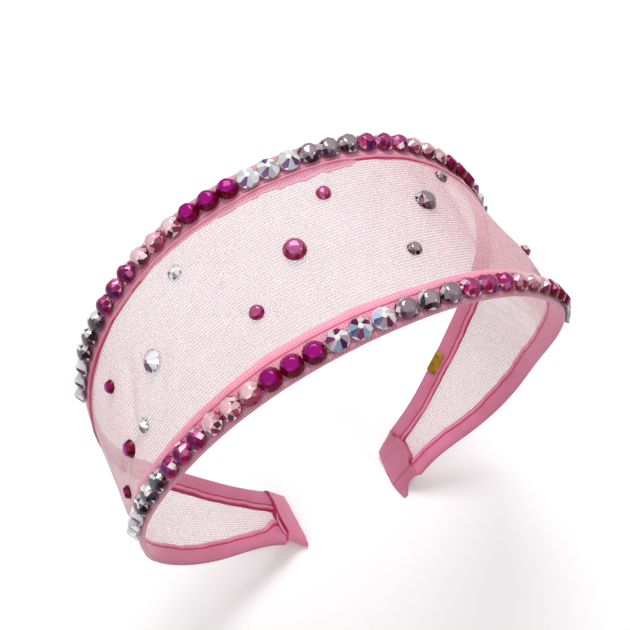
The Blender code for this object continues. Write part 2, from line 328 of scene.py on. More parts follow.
# A Mix node's sockets for colours: its factor, its two colours and its result.
MIX_SHARE, MIX_FIRST, MIX_SECOND, MIX_RESULT = 0, 6, 7, 2


class Sock:
    """An output of a node in a tree, with the usual signs for its Math nodes."""

    def __init__(self, tree, socket):
        self.tree, self.socket = tree, socket

    def node(self, kind, settings=None, inputs=None, output=0):
        """Any node: its settings are set first, then values or links go to its sockets."""
        made = self.tree.nodes.new(kind)
        for key, value in (settings or {}).items():
            setattr(made, key, value)
        for key, value in (inputs or {}).items():
            if isinstance(value, Sock):
                self.tree.links.new(value.socket, made.inputs[key])
            else:
                made.inputs[key].default_value = value
        return Sock(self.tree, made.outputs[output])

    def output(self, key):
        """Another output of the same node."""
        return Sock(self.tree, self.socket.node.outputs[key])

    def math(self, operation, *others):
        """A Math node on this value and the others."""
        values = dict(enumerate((self, *others)))
        return self.node("ShaderNodeMath", {"operation": operation}, values)

    def __add__(self, other):
        return self.math("ADD", other)

    def __mul__(self, other):
        return self.math("MULTIPLY", other)

    def smooth(self, low, high):
        """0 below low, 1 above high, eased between."""
        return self.node("ShaderNodeMapRange", {"interpolation_type": "SMOOTHSTEP"},
                         {"Value": self, "From Min": low, "From Max": high})

    def blend(self, first, second):
        """Colour that goes from first to second as this value goes from 0 to 1."""
        values = {MIX_SHARE: self}
        for key, value in ((MIX_FIRST, first), (MIX_SECOND, second)):
            values[key] = value if isinstance(value, Sock) else (*value, 1.0)
        return self.node("ShaderNodeMix", {"data_type": "RGBA"}, values, MIX_RESULT)

    def tinted(self, tint, share=1.0, blend_type="MULTIPLY"):
        """This colour multiplied by a tint, or mixed with a share of it."""
        values = {MIX_SHARE: share, MIX_FIRST: self, MIX_SECOND: (*tint, 1.0)}
        return self.node("ShaderNodeMix", {"data_type": "RGBA", "blend_type": blend_type},
                         values, MIX_RESULT)

    def bump(self, strength, distance):
        """A normal that this height tilts, the distance in metres."""
        return self.node("ShaderNodeBump", {}, {"Height": self, "Strength": strength,
                                                "Distance": distance})


def new_material(name, **constants):
    """A Principled material, its constants on the shader's own sockets, and object coordinates."""
    material = bpy.data.materials.new(name)
    material.use_nodes = True
    tree = material.node_tree
    shader = tree.nodes["Principled BSDF"]
    for key, value in constants.items():
        shader.inputs[key.replace("_", " ")].default_value = value
    start = Sock(tree, tree.nodes.new("ShaderNodeTexCoord").outputs["Object"])
    return material, shader, start


def feed(shader, name, value):
    """Links a value to one of the shader's sockets."""
    shader.id_data.links.new(value.socket, shader.inputs[name])


def noise(place, scale, detail=2.0):
    """Noise of that many grains to the metre."""
    return place.node("ShaderNodeTexNoise", {}, {"Vector": place, "Scale": scale,
                                                 "Detail": detail, "Roughness": 0.5})


def cycle(way, pitch, shape):
    """A sine or cosine of the way along the cloth, one turn to each pitch in millimetres."""
    return (way * (2.0 * math.pi / pitch)).math(shape)


def cloth_axes(start):
    """U and V of the piece's own cloth map, in millimetres along and across."""
    uv = start.node("ShaderNodeUVMap", {"uv_map": "cloth"})
    split = start.node("ShaderNodeSeparateXYZ", {}, {0: uv})
    return split, split.output(1)


def satin_material():
    """Satin ribbon in the piece's dye, with painted light and shade: fine ribs, soft sheen and
    faint mottling.

    It has 3.6 ribs and 1.7 floats to the millimetre. Where the dye's fourth value is 1, the net
    lies on the ribbon: a square weave of paler yarn in the net's own pitches, with darker ribbon
    in its holes.
    """
    material, shader, place = new_material(
        "ribbon_satin", Sheen_Weight=0.3, Sheen_Roughness=0.35, Specular_IOR_Level=0.4)
    along, across = cloth_axes(place)
    dye_and_shade = place.node("ShaderNodeAttribute", {"attribute_name": "dye_and_shade"})
    cover = dye_and_shade.output("Alpha")
    ribs = cycle(across, 1.0 / 3.6, "SINE")
    floats = cycle(along, 1.0 / 1.7, "SINE")
    weave = ribs * 0.3 + ribs * floats * 0.4 + noise(place, 2000.0) * 0.9
    mottle = noise(place, 190.0, 3.0)
    worn = (mottle * 0.6 + noise(place, 2600.0, 2.0) * 0.4).smooth(0.32, 0.68)
    colour = worn.blend(dye_and_shade.tinted((0.90, 0.83, 0.86)), dye_and_shade)
    yarn_along = cycle(along, THREAD_ALONG_PITCH, "COSINE")
    yarn_across = cycle(across, THREAD_ACROSS_PITCH, "COSINE")
    yarn = yarn_along.math("MAXIMUM", yarn_across).smooth(-0.7, 0.9)
    paler = colour.tinted((0.88, 0.64, 0.69), 0.26, "MIX")
    netted = yarn.blend(colour.tinted((0.98, 0.88, 0.93)), paler)
    feed(shader, "Base Color", cover.blend(colour, netted))
    feed(shader, "Roughness", mottle * 0.2 + 0.34 + cover * 0.12)
    height = weave * 0.5 + mottle * 1.4 + yarn * cover * 1.6
    feed(shader, "Normal", height.bump(0.25, 0.00012))
    return material


def net_material():
    """Pale net yarn that lets light through, closer where the band bends down, and with painted
    shade where it turns away.

    The flanks are read from x and from the height above the floor, both in metres: left and
    right are the two bends, and aside is where the crown starts to turn away. Painted shade
    makes aside a darker mauve and the left bend a deeper pink, and the right bend is painted
    lighter to make up for the little light it gets.
    """
    material, shader, place = new_material(
        "net_yarn", Sheen_Weight=0.2, Sheen_Roughness=0.4, Specular_IOR_Level=0.45)
    tone = noise(place, 220.0, 3.0)
    x = place.node("ShaderNodeSeparateXYZ", {}, {0: place})
    height = x.output(2)
    high = height.smooth(0.078, 0.1)
    left = x.smooth(0.022, 0.046) * height.smooth(0.07, 0.095)
    right = (x * -1.0).smooth(0.040, 0.054) * height.smooth(0.05, 0.066)
    aside = (x.smooth(0.002, 0.036) + (x * -1.0).smooth(0.03, 0.056) * 0.25) * high
    colour = tone.smooth(0.35, 0.7).blend((0.87, 0.68, 0.71), (0.91, 0.73, 0.755))
    # painted shade: darker mauve aside, deeper pink on the left bend; the right bend painted
    # lighter
    colour = left.blend(aside.blend(colour, (0.76, 0.45, 0.52)), (0.96, 0.62, 0.69))
    colour = right.blend(colour, (0.99, 0.74, 0.79))
    feed(shader, "Base Color", colour)
    cover = left * 0.3 + right * 0.12 + height.smooth(0.03, 0.06) * 0.07 + 0.23
    feed(shader, "Alpha", cover)
    feed(shader, "Roughness", tone * 0.2 + 0.42)
    feed(shader, "Normal", noise(place, 9000.0, 2.0).bump(0.25, 0.00003))
    return material


def stitch_material():
    """Twisted sewing thread, a deeper pink than the ribbon."""
    material, shader, place = new_material("sewing_thread", Sheen_Weight=0.2)
    twist = noise(place, 5200.0, 2.0)
    colour = twist.smooth(0.3, 0.7).blend((0.48, 0.035, 0.12), (0.62, 0.08, 0.19))
    feed(shader, "Base Color", colour)
    feed(shader, "Roughness", twist * 0.2 + 0.5)
    feed(shader, "Normal", twist.bump(0.3, 0.00004))
    return material


def stone_material():
    """Foil-backed cut glass: each facet's tint, the glass's colour with painted reflections and
    shade from the cut's table of tones, under a clear, hard, glossy surface with hair scratches."""
    material, shader, place = new_material(
        "cut_glass", Coat_Roughness=0.02, Specular_IOR_Level=0.12)
    tint = place.node("ShaderNodeAttribute", {"attribute_name": "tint"})
    feed(shader, "Base Color", tint)
    scratch = noise(place, 2600.0, 2.0)
    feed(shader, "Roughness", scratch * 0.06 + 0.06)
    feed(shader, "Metallic", tint.output("Alpha"))
    feed(shader, "Coat Weight", scratch * 0.08 + 0.05)
    return material


def glue_material():
    """Clear glue over pink satin."""
    material, shader, place = new_material("glue", Specular_IOR_Level=0.6)
    tone = noise(place, 900.0)
    colour = tone.smooth(0.3, 0.7).blend((0.40, 0.12, 0.20), (0.55, 0.20, 0.30))
    feed(shader, "Base Color", colour)
    feed(shader, "Roughness", tone * 0.2 + 0.15)
    feed(shader, "Normal", tone.bump(0.2, 0.00005))
    return material


def tag_material():
    """Mustard-gold foil with a brushed grain and darker worn patches."""
    material, shader, place = new_material("gold_foil", Specular_IOR_Level=0.5)
    grain = noise(place, 1500.0, 3.0)
    worn = noise(place, 420.0, 2.0)
    colour = worn.smooth(0.35, 0.7).blend((0.30, 0.15, 0.004), (0.52, 0.29, 0.02))
    feed(shader, "Base Color", colour)
    feed(shader, "Metallic", worn * 0.2 + 0.45)
    feed(shader, "Roughness", grain * 0.25 + 0.32)
    feed(shader, "Normal", grain.bump(0.2, 0.00005))
    return material


# ---- the net

def net_profile(arc):
    """Across and lift of the net's section at each arc, and the way along it from its middle.

    The net comes out of the front ridge, spans the band and goes in under the back ridge. It is
    held 1 mm inside the front one and 0.7 mm inside the back one.
    """
    first = binding_width("front", arc) - 1.0
    last = width_at(arc) - binding_width("back", arc) + 0.7
    share = np.concatenate([[0.0, 0.03], np.linspace(0.07, 0.93, 15), [0.97, 1.0]])
    across = first[:, None] + (last - first)[:, None] * share
    lift = np.broadcast_to(-0.40 + 0.16 * share ** 3, across.shape)
    step = np.diff(across, axis=-1)
    way = np.concatenate([np.zeros((len(arc), 1)), np.cumsum(step, -1)], -1)
    middle = len(share) // 2
    return across, lift, way - way[:, middle:middle + 1]


# Soft creases of the net: arc and across of both ends, half width and height, in millimetres.
CREASES = ((-51.0, 30.0, -60.0, 15.0, 2.0, -0.9), (-58.0, 17.5, -82.0, 10.0, 2.2, -0.9),
           (25.0, 38.0, 8.0, 12.0, 2.2, -0.45), (33.0, 38.0, 24.0, 20.0, 2.5, 0.35),
           (44.0, 36.0, 38.0, 14.0, 2.4, -0.5), (-30.0, 30.0, -44.0, 12.0, 3.0, 0.25))


def net_lift(arc, across):
    """Soft dents of the stretched net: long shallow waves, creases, a swell and flank ripples.

    A crease is a bell across the line between its two ends, which fades out past them. The
    swell is a round bell over the left side, 1.3 mm high.
    """
    lift = waves(arc + 0.5 * across, ((0.10, 31.0, 0.6), (0.06, 13.0, 2.0)))
    for a0, u0, a1, u1, half, height in CREASES:
        length = math.hypot(a1 - a0, u1 - u0)
        da, du = (a1 - a0) / length, (u1 - u0) / length
        along = (arc - a0) * da + (across - u0) * du
        aside = (arc - a0) * du - (across - u0) * da
        fade = ease(along, -4.0, 4.0) * ease(length - along, -4.0, 4.0)
        lift = lift + height * np.exp(-(aside / half) ** 2) * fade
    lift = lift + 1.3 * np.exp(-((arc - 64.0) / 14.0) ** 2 - ((across - 16.0) / 9.0) ** 2)
    flank = np.exp(-((np.abs(arc) - 104.0) / 20.0) ** 2)
    return lift + 0.22 * flank * waves(arc - 0.8 * across, ((1.0, 9.0, 0.4), (0.6, 5.3, 1.7)))


def net_line(arc, place, width, lift, above=0.0):
    """Points on the dented net; the dents fade in from 7.5 to 10.5 mm off the band's edges."""
    inside = ease(np.minimum(place, width - place), 7.5, 10.5)
    return on_band(arc, place, lift + net_lift(arc, place) * inside + above)


def cross_threads():
    """The threads across the band, every 0.78 mm along it: each is one section of the net."""
    count = int(2 * BAND_END / THREAD_ALONG_PITCH)
    start = (np.arange(count + 1) - count / 2) * THREAD_ALONG_PITCH
    across, lift, _ = net_profile(start)
    width = width_at(start)[:, None]
    lines = net_line(slanted(start[:, None], across, width), across, width, lift)
    sideways = np.broadcast_to(band_axes(start)[2][:, None], lines.shape)
    outward = unit(np.cross(unit(np.gradient(lines, axis=1)), sideways))
    return threads(lines, sideways, outward, CROSS_THREAD_WIDTH / 2, THREAD_DEPTH / 2)


def long_threads(stations, across, lift, way):
    """The threads along the band, every 0.71 mm of the way over the net from its middle.

    Each runs through the stations where the net is wide enough to hold it, 0.05 mm over the
    cross threads, and is wider on the flanks.
    """
    number = int(max(way.max(), -way.min()) / THREAD_ACROSS_PITCH)
    for k in range(-number, number + 1):
        at = k * THREAD_ACROSS_PITCH
        held = np.where((way[:, -1] > at) & (way[:, 0] < at))[0]
        if len(held) < 8:
            continue
        # a thread that leaves at the narrow waist goes on as two
        for part in np.split(held, np.where(np.diff(held) > 1)[0] + 1):
            if len(part) < 4:
                continue
            u, up, u2, up2 = (np.array([np.interp(at + step, way[i], table[i]) for i in part])
                              for step in (0.0, 0.2) for table in (across, lift))
            width = width_at(stations[part])
            arc = slanted(stations[part], u, width)
            line = net_line(arc, u, width, up, 0.05)[None]
            _, side, _, out, _ = band_axes(arc)
            sideways = unit(side * (u2 - u)[:, None] + out * (up2 - up)[:, None])[None]
            outward = unit(np.cross(sideways, unit(np.gradient(line, axis=1))))
            wide = LONG_THREAD_WIDTH / 2 + 0.05 * ease(np.abs(arc), 66.0, 95.0)
            wide = wide + 0.04 * ease(-arc, 52.0, 70.0) * ease(arc, -112.0, -92.0)
            yield threads(line, sideways, outward, wide[:, None], THREAD_DEPTH / 2)


def make_net(material):
    """The net: its cross threads and its long threads, as one stretched sheet."""
    stations = np.linspace(-BAND_END, BAND_END, 133)
    across, lift, way = net_profile(stations)
    groups, corners, offset = [], [], 0
    for points, faces in (cross_threads(), *long_threads(stations, across, lift, way)):
        groups.append(points)
        corners.append(facing_out(points, faces) + offset)
        offset += len(points)
    net = add_piece("net_cloth", np.concatenate(groups), np.concatenate(corners), material)
    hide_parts("mesh_panel")
    full = way[:, -1] - way[:, 0]
    area = float(((full[1:] + full[:-1]) / 2.0 * np.diff(stations)).sum()) * 1e-6


# ---- satin pieces

# The ribbon's pink dye and copies of it that paint light and shade, with a fourth value that
# is 1 where the net covers it.
PINK = np.array((0.72, 0.225, 0.365, 0.0))
# painted light: the pink as lit on the ridges
LIT_PINK = np.array((0.90, 0.29, 0.43, 0.0))
# painted shade: the pink in shade
SHADED_MAUVE = np.array((0.55, 0.18, 0.27, 0.0))
ROSY = np.array((0.74, 0.25, 0.38, 0.0))
# painted shade in creases, grooves and folds
CREASE_SHADE = np.array((0.42, 0.020, 0.085, 0.0))
# painted shade in the seam's valley
SEAM_SHADE = np.array((0.78, 0.11, 0.24, 0.0))
# painted shade at the rolled outer edge
EDGE_SHADE_PINK = np.array((0.60, 0.17, 0.28, 0.0))
NETTED = np.array((0.0, 0.0, 0.0, 1.0))


def binding_section(width, rim, skirt, level, side):
    """Across, lift and dye of the corners round the edging, for its outer and its inner face.

    Outside: wire edge, strip, seam, ridge and wall, with a skirt at its own level beside the
    wall. Inside, which the legs show: a ridge beside the net with a groove next to it. The dye
    paints light and shade: the ridges lit, and the front strip, the seams, the back wall, the
    inner groove and the outer edge in shade.
    """
    if side == "front":
        ridge, top, crest = 0.95, 0.24, LIT_PINK + NETTED
        strip, beside, seam, wall = SHADED_MAUVE + NETTED, ROSY + NETTED, SEAM_SHADE, LIT_PINK * 0.8
    else:
        ridge, top, crest = 0.36, 0.36, LIT_PINK
        strip, beside, seam, wall = PINK + NETTED, PINK + NETTED, PINK * 0.7, CREASE_SHADE
    low = width - 2.0 * ridge
    outer = [
        (rim, -1.15, EDGE_SHADE_PINK), (rim + 0.03, -0.7, strip), (rim + 0.22, -0.34, strip),
        (rim + 0.62, -0.1, strip), (rim + 1.3, 0.0, strip), (low - 1.5, 0.0, beside),
        (low - 0.30, 0.0, beside), (low - 0.12, -0.03, seam),
        (low, -0.05, seam), (low + 0.08, 0.0, seam),
        (width - 1.75 * ridge, top * 0.5, crest), (width - 1.4 * ridge, top * 0.86, crest),
        (width - ridge, top, crest), (width - 0.6 * ridge, top * 0.86, crest),
        (width - 0.22 * ridge, top * 0.45, crest),
        (width - 0.04, top * 0.05, crest - LIT_PINK * 0.05),
        (width + 0.02, level, wall * 1.3), (width + 0.02 + skirt, level, wall * 1.1),
        (width + 0.03 + skirt, -0.5, wall),
    ]
    inner = [
        (width + 0.02, -0.95, CREASE_SHADE * 1.5), (width - 0.12, -1.3, LIT_PINK * 0.9),
        (width - 0.25, -1.56, LIT_PINK * 0.97), (width - 0.6, -1.68, LIT_PINK * 0.95),
        (width - 0.95, -1.62, PINK), (width - 1.14, -1.44, CREASE_SHADE * 1.7),
        (width - 1.24, -1.3, CREASE_SHADE * 1.4), (width - 1.34, -1.46, CREASE_SHADE * 1.7),
        (width - 1.55, -1.72, PINK), (width - 2.1, -1.92, PINK), (width - 2.9, -2.12, PINK),
        (width * 0.42, -2.26, PINK), (1.5, -2.26, PINK * 0.97), (0.8, -2.14, PINK * 0.93),
        (rim * 0.5 + 0.32, -1.9, EDGE_SHADE_PINK), (rim + 0.06, -1.55, EDGE_SHADE_PINK * 0.95),
    ]
    return outer, inner


def make_binding(side, material):
    """The satin edging: its section carried along the edge, lip and faces gently uneven.

    The ridges move in and out by slow waves, the ribbon swells between the stitches, and its
    faces carry long shallow ripples. The back one stands out by 0.9 mm over the crown's right
    half, and its skirt is widest and highest on the right flank, where painted shade lays a deep
    red line along its ridge. Painted shade makes the right leg a little darker. The front one is
    tucked in where the tips' ribbons cover its ends.
    """
    here = np.linspace(-1.0, 1.0, 521) * BAND_END
    only_back = side == "back"
    flank = ease(-here, 45.0, 75.0)
    rim = -0.9 * ease(here, -66.0, -48.0) * ease(-here, -26.0, -8.0) * only_back
    skirt = (0.32 + 0.38 * flank) * only_back
    level = -0.14 + (0.13 * ease(here, 17.0, 22.0) + 0.26 * flank) * only_back
    width = binding_width(side, here)
    outer_face, inner_face = binding_section(width, rim, skirt, level, side)
    section = outer_face + inner_face
    width = width[:, None]
    across, lift = (np.stack([np.broadcast_to(p[n], here.shape) for p in section], -1)
                    for n in (0, 1))
    dye_and_shade = np.array(np.broadcast_to(np.array([p[2] for p in section]), across.shape + (4,)))
    # painted shade: the right leg's edging is a little darker
    dye_and_shade[..., :3] *= 1.0 - 0.13 * ease(-here, 105.0, 140.0)[:, None, None]
    inner = np.arange(len(section)) >= len(outer_face)
    if only_back:
        # painted shade: a deep red line beside the back ridge on the right flank
        ridge_line_shade = ease(across - width, -0.24, -0.1) * (lift > -0.2) * ease(-here, 50.0, 70.0)[:, None]
        dye_and_shade = dye_and_shade + (CREASE_SHADE * 1.2 - dye_and_shade) * ridge_line_shade[..., None]
    lip = lip_waves(here, side)[:, None]
    near = ease(across - width, -3.0, -0.6)
    across = across + lip * near * np.where(inner, 1.0, 0.45)
    swell = np.cos(2.0 * np.pi * here / 2.6)[:, None]
    lift = lift + np.where(inner, -1.0, 1.0) * 0.035 * swell * near
    lift = lift + waves(here[:, None] + 1.7 * across, ((0.03, 11.0, 0.0), (0.025, 6.1, 1.0)))
    if side == "front":
        tuck = 1.5 * ease(here, 182.5, 184.0) + 1.3 * ease(-here, 181.6, 183.4)
        across = np.maximum(across, tuck[:, None])
    here = here[:, None]
    place = from_front(side, here, across)
    arc = slanted(here, place, width_at(here))
    points, faces = closed_loft(on_band(arc, place, lift))
    satin = add_piece(f"{side}_satin", points, faces, material, dye_and_shade=dye_and_shade,
                      uv=cloth_map(arc, across, lift, len(here) // 2))
    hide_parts(f"{side}_binding")


def lip_waves(arc, side):
    """How far the edging's ridge beside the net wanders across the band.

    The front one turns up beside the fold of the right tip.
    """
    turn = 2.6 * ease(-arc, 174.5, 180.5) if side == "front" else 0.0
    return turn + waves(arc, ((0.16, 23.0, 0.3), (0.10, 9.7, 1.1), (0.05, 4.9, 2.0)))


def make_back_flap(material):
    """The ribbon's loose edge on the net beside the back ridge, a slab 0.15 mm thick.

    It reaches 2 mm over the net on the crown, with a wavy border, and narrows towards the
    right. Its dye is painted darker as shade, darkest along the ridge, and pales towards its
    border.
    """
    arc = np.linspace(-56.0, 21.0, 155)
    wide = np.interp(arc, (-56.0, -30.0, -5.0, 12.0, 17.0, 21.0), (0.1, 0.6, 1.6, 2.3, 2.0, 0.1))
    wide = wide * (1.0 + waves(arc, ((0.12, 17.0, 0.0), (0.10, 6.3, 1.0), (0.06, 2.9, 0.5)))) + 0.3
    t = np.linspace(0.0, 1.0, 9)
    across = binding_width("back", arc)[:, None] - 0.4 + wide[:, None] * t
    drop = 0.02 - 0.12 * t - 0.05 * np.sin(arc[:, None] * 0.7) * t
    across = np.concatenate([across, across[:, ::-1]], 1)
    lift = np.concatenate([drop, drop[:, ::-1] - 0.15], 1)
    arc = np.broadcast_to(arc[:, None], across.shape)
    points, faces = closed_loft(on_band(arc, from_front("back", arc, across), lift))
    # painted shade: darker pink under the net, with crease shade along the ridge
    dye_and_shade = PINK * 0.68 + NETTED + np.array((0.26, 0.20, 0.20, 0.0)) * ease(t, 0.4, 1.0)[:, None]
    dye_and_shade[t < 0.2] = CREASE_SHADE * 1.3
    dye_and_shade = np.broadcast_to(np.concatenate([dye_and_shade, dye_and_shade[::-1]]), across.shape + (4,))
    uv = np.stack([arc.ravel(), across.ravel()], -1)
    flap = add_piece("back_flap", points, faces, material, uv=uv, dye_and_shade=dye_and_shade)


def make_stitches(side, material):
    """A row of stitches in the groove of the inner face, each one a spindle 1.6 mm long.

    A stitch's radius is r sqrt(1 - t^2) at t from -1 to 1 along it, and it bows up by 0.05 mm.
    The groove lies 1.24 mm in from the net and wanders with the lip.
    """
    pitch, half, thickest, thinnest = 2.3, 0.8, 0.18, 0.02
    centre = np.arange(-177.0, 177.1, pitch)
    t = np.array([-1.0, -0.8, -0.35, 0.35, 0.8, 1.0])
    turn = np.arange(6) * np.pi / 3.0
    arc = centre[:, None] + half * t[None]
    across = binding_width(side, arc) - 1.24 + lip_waves(arc, side) * 0.95
    place = from_front(side, arc, across)
    middle = on_band(arc, place, -1.42 - 0.05 * (1.0 - t ** 2)[None] + 0.0 * arc)
    _, sideways, _, out, _ = band_axes(arc)
    radius = np.maximum(thickest * np.sqrt(1.0 - t ** 2), thinnest)[None, :, None, None]
    ring = np.cos(turn)[:, None] * sideways[:, :, None] + np.sin(turn)[:, None] * out[:, :, None]
    grid = middle[:, :, None] + radius * ring
    count, steps, around = grid.shape[:3]
    base = (np.arange(count) * steps * around)[:, None, None]
    points = grid.reshape(-1, 3)
    faces = facing_out(points, (skin(steps, around)[None] + base).reshape(-1, 4))
    first = base[:, 0] + np.arange(around)[::-1]
    last = base[:, 0] + np.arange(around) + (steps - 1) * around
    caps = np.concatenate([first, last])
    stitches = add_piece(f"{side}_stitches", points, list(faces) + list(caps), material)


# The ribbon round each tip. Lines: share of the width from the front edge, and the arcs where
# the ribbon starts and ends there. Sides: arc, and how far the ribbon stays in from the front
# edge and from the back edge. Flap: arc and across of the raised fold's line. Mouth: how much
# painted shade darkens its start. Spots: shares of the width where folds meet in a spot of
# painted shade. Shade: a factor that paints the whole ribbon darker as shade.
TIPS = {
    "right": dict(
        sign=-1.0, shade=1.0, mouth_shade=0.95,
        shade_spots=(0.55, 0.72),
        lines=((0.0, 182.0, 191.3), (0.15, 183.2, 191.6), (0.32, 182.1, 191.5),
               (0.55, 180.6, 191.2), (0.82, 179.7, 190.8), (1.0, 177.4, 190.0)),
        sides=((178.0, 0.5, 0.0), (182.0, 1.0, 0.0), (185.5, 1.2, 0.0), (188.0, 0.7, -0.1),
               (190.0, 0.0, -0.2), (191.6, -0.5, -0.1)),
        flap=((178.0, 20.0), (192.0, 20.0))),
    "left": dict(
        sign=1.0, shade=0.84, mouth_shade=0.3,
        shade_spots=(0.28, 0.92),
        lines=((0.0, 182.8, 192.9), (0.12, 182.6, 193.8), (0.27, 181.9, 194.3),
               (0.34, 180.7, 194.2), (0.56, 179.2, 193.8), (0.71, 178.5, 193.2),
               (0.86, 179.0, 192.5), (1.0, 178.9, 191.4)),
        sides=((178.0, 0.3, 0.3), (182.5, 0.3, 0.3), (185.0, 1.4, 0.3), (188.2, 1.7, 0.4),
               (190.6, 0.9, 0.6), (192.0, -0.6, 0.6), (194.4, 0.0, 0.7)),
        flap=((178.0, 4.2), (183.0, 4.9), (194.0, 5.7))),
}


def make_wrap(side, material):
    """Folded ribbon round a tip: a rounded flat tube with raised folds on its inner face.

    A ring runs over the outer face, round the back edge, over the inner face and round the
    front edge. A fold is a smoothstep across a line of the face, so that the ribbon stands
    0.3 mm higher on one side of it. The start is a rolled hem, the tip's end is a quarter
    ellipse, and the right tip has a second fold 1.15 mm before its end. Nothing goes below the
    surface it stands on.
    """
    edge, nose = 0.85, 0.9
    tip = TIPS[side]
    lines, sides, flap = (np.array(tip[key]) for key in ("lines", "sides", "flap"))
    face = np.linspace(0.0, 1.0, 72)
    half = np.linspace(0.0, np.pi, 10)[1:-1]
    t = np.concatenate([face, np.ones(8), face[::-1], np.zeros(8)])
    bulge = np.concatenate([0 * face, np.sin(half), 0 * face, -np.sin(half)])
    level = np.concatenate([0 * face + 1.0, np.cos(half), 0 * face - 1.0, -np.cos(half)])
    body = np.linspace(0.0, 1.0, 60)
    cap = np.linspace(0.0, np.pi / 2.0, 8)[1:]
    s = np.concatenate([[0.0, 0.0], body, np.ones(7)])[:, None]
    thick = np.concatenate([[0.35, 0.8], 0 * body + 1.0, np.cos(cap) * 0.94 + 0.06])[:, None]
    past = np.concatenate([[0.0, -0.12], 0 * body, nose * np.sin(cap)])[:, None]
    start = np.interp(t, lines[:, 0], lines[:, 1])[None]
    end = np.interp(t, lines[:, 0], lines[:, 2])[None] - nose
    arc = start + (end - start) * s + past
    down, before_end = arc - start, end + nose - arc
    width = width_at(tip["sign"] * arc)
    low = np.interp(arc, sides[:, 0], sides[:, 1]) + edge
    high = width - np.interp(arc, sides[:, 0], sides[:, 2]) - edge
    across = low + (high - low) * t[None] + edge * bulge[None]
    fold = across - np.interp(arc, flap[:, 0], flap[:, 1])
    inner = ease(-level, 0.2, 0.9)[None]
    outer = ease(level, 0.2, 0.9)[None]
    # its form
    raised = 0.32 * ease(fold, -0.18, 0.18)
    roll = 0.22 * np.exp(-((down - 0.55) / 0.38) ** 2)
    tuck = 0.35 * ease(before_end, 1.0, 1.35) if tip["sign"] < 0 else 0.0
    crease = waves(across - 0.3 * down, ((0.05, 5.3, 0.2), (0.03, 2.9, 1.4)))
    swell = 0.42 + raised + roll + tuck + crease
    lift = (level * 1.15 - 1.2) * thick - inner * swell * thick + outer * 0.25 * thick
    lift = lift + (1.0 - thick) * -1.2
    # its dye, with painted shade below the folds, at its mouth and in spots where folds meet
    painted_shade = 0.55 * np.exp(-((fold + 0.2) / 0.2) ** 2) * inner
    painted_shade = painted_shade + tip["mouth_shade"] * ease(-down, -0.32, -0.1)
    for spot in tip["shade_spots"]:
        painted_shade = painted_shade + 0.9 * np.exp(-((t[None] - spot) / 0.05) ** 2 - (down / 0.45) ** 2) * inner
    painted_shade = np.minimum(painted_shade, 1.0)
    # painted shade along the right tip's second fold
    if tip["sign"] < 0:
        painted_shade = painted_shade + 0.6 * np.exp(-((before_end - 1.15) / 0.2) ** 2) * inner
    # painted shade: the lower flap past the fold is a darker mauve, and the left ribbon is darker
    lap = 0.35 * ease(-fold, 0.0, 0.3) * inner
    dye_and_shade = PINK * (1.0 - lap[..., None]) + SHADED_MAUVE * 1.05 * lap[..., None]
    dye_and_shade = (dye_and_shade * (1.0 - painted_shade[..., None]) + CREASE_SHADE * painted_shade[..., None]) * tip["shade"]
    grid = on_band(tip["sign"] * arc, across, lift)
    grid[..., 2] = np.maximum(grid[..., 2], 0.03)
    points, faces = closed_loft(grid)
    wrap = add_piece(f"{side}_tip_ribbon", points, faces, material, dye_and_shade=dye_and_shade,
                     uv=cloth_map(arc, across, lift, len(body) // 2))
    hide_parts(f"{side}_tip_wrap")


def make_tuck(material):
    """The thin leaf of ribbon that stands beside the right tip's fold, 8 mm long.

    A ring is an ellipse whose half width and height follow a table of arc, across and half
    width along its line. Its dye is painted lighter where it stands off the band, as light, and
    darker against the band, as shade.
    """
    line = np.array((
        (180.9, 10.9, 0.05), (180.2, 9.4, 0.24), (180.3, 7.6, 0.36), (180.8, 6.0, 0.42),
        (181.5, 4.4, 0.38), (182.3, 3.1, 0.22), (182.9, 2.5, 0.05)))
    run = np.linspace(0.0, 1.0, 40)
    knots = np.linspace(0.0, 1.0, len(line))
    arc, across, half = (natural_spline(knots, line[:, n], run) for n in range(3))
    half = np.maximum(half, 0.05)
    turn = np.linspace(0.0, 2.0 * np.pi, 12, endpoint=False)
    place = arc[:, None] + half[:, None] * np.cos(turn)
    side = across[:, None] + 0.4 * half[:, None] * np.cos(turn)
    lift = -2.5 - 1.1 * half[:, None] * np.sin(turn)
    points, faces = closed_loft(on_band(-place, side, lift))
    # painted light and shade: lighter where the leaf stands off the band, darker against it
    shade = (0.55 + 0.3 * ease(np.sin(turn), -0.1, 0.9))[None, :, None]
    dye_and_shade = np.broadcast_to(LIT_PINK * shade, (*place.shape, 4))
    uv = np.stack([place.ravel(), side.ravel()], -1)
    tuck = add_piece("right_tip_tuck", points, faces, material, uv=uv, dye_and_shade=dye_and_shade)


# ---- cut stones

